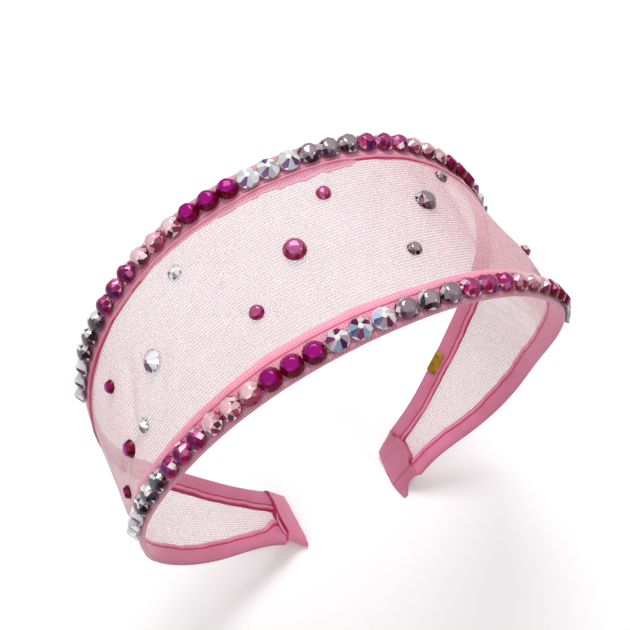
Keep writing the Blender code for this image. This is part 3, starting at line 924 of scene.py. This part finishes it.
def stone_shape(diameter, table, middle):
    """Points and facets of one flat-backed cut stone, with its table up.

    Table: 8 corners at table * R, and 8 at half of that, a little higher, so that it is faintly
    domed. Middle ring: 8 corners at middle * R between them. Girdle: 16 corners at R, twice.
    Back: 16 corners at 0.82 R. Facets: table, its 8 sides, 8 stars, 8 kites, 16 upper girdle
    triangles, 16 girdle faces, 16 underside faces and the back.
    """
    r, height = diameter / 2.0, diameter * 0.40
    low, high = diameter * 0.075, diameter * 0.11
    a8 = np.arange(8) * np.pi / 4.0
    a16 = np.arange(16) * np.pi / 8.0
    shoulder = high + (height - high) * (1.0 - middle) / (1.0 - table) * 1.12

    def ring(angle, reach, level):
        return np.stack([reach * np.cos(angle), reach * np.sin(angle),
                         np.full_like(angle, level)], -1)

    points = np.concatenate([
        ring(a8, table * r, height), ring(a8 + np.pi / 8, middle * r, shoulder),
        ring(a16, r, high), ring(a16, r, low), ring(a16, 0.82 * r, 0.0),
        ring(a8, 0.5 * table * r, height + 0.028 * table * diameter)])
    facets, kinds = [[64 + k for k in range(8)]], ["table"]
    for k in range(8):
        n = (k + 1) % 8
        before = 8 + (k - 1) % 8
        facets.append([k, n, 64 + n, 64 + k])
        kinds.append("side")
        facets.append([k, 8 + k, n])
        kinds.append("star")
        facets.append([k, before, 16 + 2 * k, 8 + k])
        kinds.append("kite")
        for m in (0, 1):
            g, h = 16 + (2 * k + m) % 16, 16 + (2 * k + m + 1) % 16
            facets.append([8 + k, g, h])
            kinds.append("upper")
    for k in range(16):
        n = (k + 1) % 16
        facets.append([32 + k, 32 + n, 16 + n, 16 + k])
        kinds.append("girdle")
        facets.append([48 + k, 48 + n, 32 + n, 32 + k])
        kinds.append("under")
    facets.append([48 + k for k in range(16)][::-1])
    kinds.append("back")
    return points, facets, kinds


# Of each colour: the table's and the middle ring's share of the radius, how metallic its foil
# looks, the table's tones, the facets' light and dark tones, and the rim's tones. The light and
# dark tones and the rim's tones are painted reflections and shade on the glass. The flat rose
# is the single stones' cut, and the pale rainbow is the back row's over the crown.
CUTS = {
    "rainbow": (0.24, 0.84, 0.35,
                ((0.86, 0.76, 0.78), (0.90, 0.90, 0.88)),
                ((0.95, 0.96, 0.96), (0.78, 0.78, 0.80), (0.66, 0.74, 0.67), (0.56, 0.62, 0.88),
                 (0.92, 0.88, 0.90), (0.62, 0.58, 0.62)),
                ((0.10, 0.012, 0.07), (0.28, 0.04, 0.16), (0.10, 0.10, 0.20), (0.30, 0.42, 0.55),
                 (0.20, 0.02, 0.09), (0.90, 0.90, 0.92), (0.46, 0.38, 0.44)),
                ((0.74, 0.72, 0.74), (0.34, 0.30, 0.34))),
    "clear": (0.30, 0.80, 0.45,
              ((0.66, 0.68, 0.70), (0.90, 0.92, 0.92)),
              ((0.92, 0.93, 0.95), (0.72, 0.76, 0.80), (0.95, 0.95, 0.95), (0.80, 0.78, 0.78)),
              ((0.05, 0.05, 0.08), (0.24, 0.26, 0.28), (0.50, 0.52, 0.56), (0.85, 0.85, 0.86)),
              ((0.70, 0.72, 0.74), (0.12, 0.12, 0.14))),
    "greige": (0.66, 0.86, 0.4,
               ((0.29, 0.215, 0.25), (0.34, 0.265, 0.295)),
               ((0.60, 0.52, 0.55), (0.80, 0.76, 0.77), (0.40, 0.31, 0.35), (0.30, 0.20, 0.24)),
               ((0.035, 0.008, 0.02), (0.05, 0.05, 0.08), (0.20, 0.10, 0.14), (0.12, 0.04, 0.07)),
               ((0.20, 0.05, 0.09), (0.62, 0.54, 0.57), (0.04, 0.006, 0.015))),
    "rose": (0.54, 0.82, 0.4,
             ((0.36, 0.035, 0.155), (0.41, 0.065, 0.20)),
             ((0.52, 0.15, 0.32), (0.40, 0.05, 0.18), (0.92, 0.82, 0.86), (0.34, 0.025, 0.12)),
             ((0.11, 0.008, 0.07), (0.09, 0.015, 0.11), (0.30, 0.012, 0.09), (0.22, 0.006, 0.06)),
             ((0.28, 0.006, 0.07), (0.44, 0.03, 0.13), (0.74, 0.38, 0.52))),
    "flat_rose": (0.72, 0.88, 0.3,
                  ((0.42, 0.075, 0.21), (0.46, 0.10, 0.24)),
                  ((0.40, 0.05, 0.17), (0.34, 0.03, 0.13), (0.60, 0.22, 0.36)),
                  ((0.28, 0.012, 0.08), (0.22, 0.006, 0.05), (0.34, 0.02, 0.10)),
                  ((0.30, 0.008, 0.06), (0.40, 0.03, 0.12))),
    "pale_rainbow": (0.24, 0.84, 0.35,
                     ((0.86, 0.76, 0.78), (0.90, 0.90, 0.88)),
                     ((0.95, 0.96, 0.96), (0.78, 0.78, 0.80), (0.80, 0.86, 0.82),
                      (0.70, 0.76, 0.92)),
                     ((0.90, 0.90, 0.92), (0.50, 0.50, 0.56), (0.76, 0.72, 0.66),
                      (0.16, 0.06, 0.18), (0.60, 0.66, 0.72)),
                     ((0.70, 0.66, 0.66), (0.34, 0.26, 0.30))),
    "light_rose": (0.54, 0.82, 0.4,
                   ((0.86, 0.51, 0.58), (0.90, 0.60, 0.65)),
                   ((0.86, 0.58, 0.63), (0.94, 0.88, 0.88), (0.70, 0.38, 0.45), (0.80, 0.50, 0.55)),
                   ((0.08, 0.035, 0.065), (0.20, 0.14, 0.20), (0.42, 0.08, 0.14),
                    (0.28, 0.045, 0.09), (0.55, 0.26, 0.32)),
                   ((0.42, 0.06, 0.11), (0.82, 0.60, 0.63), (0.24, 0.025, 0.06))),
    "fuchsia": (0.66, 0.86, 0.1,
                ((0.25, 0.0, 0.14), (0.29, 0.0, 0.16)),
                ((0.20, 0.0, 0.06), (0.15, 0.0, 0.025), (0.22, 0.0, 0.09)),
                ((0.13, 0.0, 0.010), (0.09, 0.0, 0.007), (0.16, 0.0, 0.018)),
                ((0.15, 0.0, 0.012), (0.11, 0.0, 0.008), (0.18, 0.0, 0.024))),
}


def facet_colours_and_reflections(kinds, facets, shape, colour, arc, rng):
    """One colour for each corner of each facet, from its cut's tones, with its foil's share; the
    colours paint the reflections and shade on the facets.

    The lit side of a stone, painted lighter, looks away from the camera, and towards the crown on
    the flanks, and takes more of the light tones; the other side takes more of the dark ones. A
    star and the next kite of a clear cut make one long wedge. On the deep cuts some stars take
    the table's tone, which gives it a ragged outline. Low on the right flank a painted glint: the
    table is painted dark and its sides on the lit side white. On the left flank the fuchsia
    tables take a redder tone and the light rose stones are painted darker, as shade.
    """
    foil, tables, lights, dark_reflections, rims = CUTS[colour][2:]
    # painted light: the lit side of each stone turns with the band
    tilt = math.radians(-65.0 * arc / (STONES_EACH_SIDE * STONE_PITCH))
    painted_light_side = np.array((math.sin(tilt), math.cos(tilt)))
    strong = 0.25 + 0.75 * min(abs(arc) / FLANK_START, 1.0)
    # painted glint low on the right flank
    painted_glint = arc < -CROWN_REACH and colour != "fuchsia"
    face = np.array(tables[rng.integers(len(tables))])
    if colour == "fuchsia" and arc > CROWN_REACH:
        face = np.array(lights[0]) * 1.1
    if painted_glint:
        face = face * 0.3 + np.array(dark_reflections[rng.integers(2)]) * 0.7
    wedges = colour in ("rainbow", "pale_rainbow", "clear")
    corners, tone, last = [], face, None
    for kind, facet in zip(kinds, facets):
        aim = shape[facet, :2].mean(0)
        side = float(aim @ painted_light_side) / max(float(np.linalg.norm(aim)), 0.01)
        if kind == "table":
            tone = face
        elif kind == "side":
            tone = np.array(lights[1]) * 1.15 if painted_glint and side > 0.45 else face
        elif kind == "star" or (kind == "kite" and not wedges):
            chance = rng.uniform(*((-0.6, 0.6) if abs(arc) < CROWN_REACH else (-0.3, 0.5)))
            near = lights if side * strong > chance else dark_reflections
            if (wedges and abs(arc) > FLANK_START) or (painted_glint and colour == "greige"):
                near = near[:2]
            pick = int(rng.integers(len(near)))
            if near[pick] == last:
                pick = (pick + 1) % len(near)
            last = near[pick]
            tone = np.array(last) * rng.uniform(0.88, 1.1)
            if kind == "star" and not wedges and rng.random() < 0.55:
                tone = face * rng.uniform(0.8, 1.0)
        elif kind == "upper":
            tone = np.array(rims[rng.integers(len(rims))]) * rng.uniform(0.8, 1.1)
        elif kind != "kite":
            tone = np.array(rims[0]) * (0.8 if kind == "girdle" else 0.4)
        # painted shade: light rose stones darker on the left flank
        if colour == "light_rose" and arc > CROWN_REACH:
            tone = tone * (0.76, 0.68, 0.70)
        corners += [(*np.clip(tone, 0.0, 0.97), foil)] * len(facet)
    return corners


def stones_piece(name, seats, material, slot, node):
    """Cut stones at their seats, as one mesh: place + x along + y across + z out for each."""
    points, faces, painted_facet_tones, soft, offset = [], [], [], [], 0
    for arc, across, lift, diameter, colour, turn, seed in seats:
        rng = np.random.default_rng(seed)
        shape, facets, kinds = stone_shape(diameter, *CUTS[colour][:2])
        c, s = math.cos(turn), math.sin(turn)
        shape = np.stack([shape[:, 0] * c - shape[:, 1] * s,
                          shape[:, 0] * s + shape[:, 1] * c, shape[:, 2]], -1)
        _, side, along, out, _ = band_axes(np.array(arc))
        points.append(on_band(np.array(arc), across, lift)
                      + shape[:, :1] * along + shape[:, 1:2] * side + shape[:, 2:3] * out)
        turned = -1 if np.dot(np.cross(along, side), out) < 0.0 else 1
        faces += [[v + offset for v in f[::turned]] for f in facets]
        painted_facet_tones += facet_colours_and_reflections(kinds, facets, shape, colour, arc, rng)
        soft += [kind in ("table", "side") for kind in kinds]
        offset += len(shape)
    piece = add_piece(name, np.concatenate(points), faces, material, smooth=soft,
                      colour=np.array(painted_facet_tones))
    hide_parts(node)


def make_row(side, material, seed):
    """A row's 33 stones, three of each colour after each other, each turned its own way."""
    rng = np.random.default_rng(seed)
    seats = []
    for i in range(-STONES_EACH_SIDE, STONES_EACH_SIDE + 1):
        arc = i * STONE_PITCH
        across = float(from_front(side, np.array(arc), row_inset(side, arc)))
        colour = ROW_COLOURS[(i + STONES_EACH_SIDE) // 3]
        if side == "back" and colour == "rainbow" and abs(arc) < CROWN_REACH:
            colour = "pale_rainbow"
        seats.append((arc, across, BED_TOP, STONE_DIAMETER, colour, rng.uniform(0, 0.8),
                      int(rng.integers(1 << 30))))
    stones_piece(f"{side}_stones", seats, material, "crystal_mixed", f"{side}_crystal_row")


def make_singles(material):
    """The single stones, each in the place of its solid and sunk 0.15 mm into the dented net.

    They are drawn a tenth larger than their measure, and each is turned 0.37 more than the last.
    """
    slots = {"rainbow": "crystal_clear", "flat_rose": "crystal_rose"}
    for n, (arc, across, diameter, colour) in enumerate(SINGLES, start=1):
        lift = float(net_lift(np.array(arc), np.array(across))) - 0.15
        seat = (arc, across, lift, diameter * 1.1, colour, 0.37 * n, 900 + n)
        stones_piece(f"single_stone_{n:02d}", [seat], material,
                     slots.get(colour, f"crystal_{colour}"), f"crystal_{n:02d}")


def make_beds(side, material):
    """The thin clear line of glue that the row's stones sit in.

    Its section has six corners, and its top rises and falls by 0.03 mm with the stones.
    """
    arc = np.linspace(-81.3, 81.3, 163)[:, None]
    corners = np.array(((-1.1, 0.2), (-1.25, 0.34), (-1.0, 0.52),
                        (1.0, 0.52), (1.25, 0.34), (1.1, 0.2)))
    across = row_inset(side, arc) + corners[None, :, 0]
    place = from_front(side, arc, across)
    lift = corners[None, :, 1] + 0.03 * np.sin(arc * 2.0 * np.pi / STONE_PITCH)
    points, faces = closed_loft(on_band(np.broadcast_to(arc, across.shape), place, lift))
    bed = add_piece(f"{side}_glue_bed", points, faces, material)


def make_tag(material):
    """The small bare gold tag on the left leg's inner face: a plate with rounded corners.

    Its rings are a rounded rectangle that shrinks from the foot to the raised middle, and the
    plate bows by 0.05 mm along its length.
    """
    length, wide, round_off = 7.6, 3.2, 0.45
    arc, across, slant, face = 148.4, 24.3, 0.247, -2.38
    turn = np.linspace(0.0, 2.0 * np.pi, 40, endpoint=False)
    x = np.sign(np.cos(turn)) * (length / 2 - round_off) + round_off * np.cos(turn)
    y = np.sign(np.sin(turn)) * (wide / 2 - round_off) + round_off * np.sin(turn)
    scale, up = np.array(((1.0, 0.0), (1.0, 0.22), (0.985, 0.3), (0.955, 0.34), (0.6, 0.39),
                          (0.2, 0.42))).T[:, :, None]
    x, y = x * scale, y * scale
    lift = face - up - 0.05 * np.cos(x * 0.5)
    points, faces = closed_loft(on_band(arc + x, across - slant * x + y, lift))
    tag = add_piece("gold_tag", points, faces, material)
    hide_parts("inner_tag")


# ---- floor, lights and camera

def make_stage():
    """A plain white floor, studio light that grows towards the zenith, and three soft lamps.

    The key light stands above and behind, the fill in front at the right, and a small glint in
    front at the left. Past the floor's edge the camera sees an even, pale backdrop.
    """
    mesh = bpy.data.meshes.new("floor")
    reach = 3.0
    mesh.from_pydata([(-reach, -reach, 0), (reach, -reach, 0), (reach, reach, 0),
                      (-reach, reach, 0)], [], [(0, 1, 2, 3)])
    floor = bpy.data.objects.new("floor", mesh)
    bpy.context.scene.collection.objects.link(floor)
    material, shader, _ = new_material("floor_white", Roughness=0.9)
    shader.inputs["Base Color"].default_value = (0.93, 0.93, 0.93, 1.0)
    shader.inputs["Specular IOR Level"].default_value = 0.1
    mesh.materials.append(material)

    world = bpy.data.worlds.new("studio")
    world.use_nodes = True
    tree = world.node_tree
    sky = tree.nodes["Background"]
    start = Sock(tree, tree.nodes.new("ShaderNodeTexCoord").outputs["Generated"])
    height = start.node("ShaderNodeSeparateXYZ", {}, {0: start}, 2)
    glow = height.smooth(-0.05, 0.95).blend((0.16, 0.155, 0.16), (0.78, 0.78, 0.78))
    seen = start.node("ShaderNodeLightPath").blend(glow, (0.62, 0.62, 0.62))
    tree.links.new(seen.socket, sky.inputs["Color"])
    bpy.context.scene.world = world

    # name, place, target, size, power
    lamps = (
        ("key", (0.18, 0.42, 0.95), (0.0, 0.0, 0.06), 0.42, 5.5),
        ("fill", (-0.55, -0.35, 0.75), (0.0, 0.0, 0.06), 0.6, 1.5),
        ("glint", (0.5, -0.35, 0.6), (0.0, 0.0, 0.08), 0.1, 0.5),
    )
    for name, place, target, size, power in lamps:
        data = bpy.data.lights.new(name, "AREA")
        data.energy = power
        data.size = size
        lamp = bpy.data.objects.new(name, data)
        lamp.location = place
        aim = Vector(target) - Vector(place)
        lamp.rotation_euler = aim.to_track_quat("-Z", "Y").to_euler()
        bpy.context.scene.collection.objects.link(lamp)


def make_camera():
    """The photograph's view, from the wearer's front right, looking 56 degrees down.

    Its place and its picture's three directions were solved together with the band's shape.
    """
    right = Vector((0.88788, -0.45310, -0.07985))
    down = Vector((-0.41839, -0.72297, -0.54978))
    ahead = Vector((0.19138, 0.52155, -0.83148))
    turn = Matrix((right, -down, -ahead)).transposed().to_4x4()
    data = bpy.data.cameras.new("camera")
    data.lens = 51.234
    data.sensor_width = 36.0
    data.clip_start = 0.01
    camera = bpy.data.objects.new("camera", data)
    camera.matrix_world = Matrix.Translation((-0.04137, -0.10773, 0.28807)) @ turn
    bpy.context.scene.collection.objects.link(camera)
    bpy.context.scene.camera = camera


bpy.context.scene.view_settings.view_transform = "Standard"
make_camera()
make_stage()

satin = satin_material()
thread = stitch_material()
glass = stone_material()
glue = glue_material()
for side, seed in (("front", 11), ("back", 23)):
    make_binding(side, satin)
    make_stitches(side, thread)
    make_beds(side, glue)
    make_row(side, glass, seed)
make_back_flap(satin)
for side in TIPS:
    make_wrap(side, satin)
make_tuck(satin)
make_singles(glass)
make_net(net_material())
make_tag(tag_material())
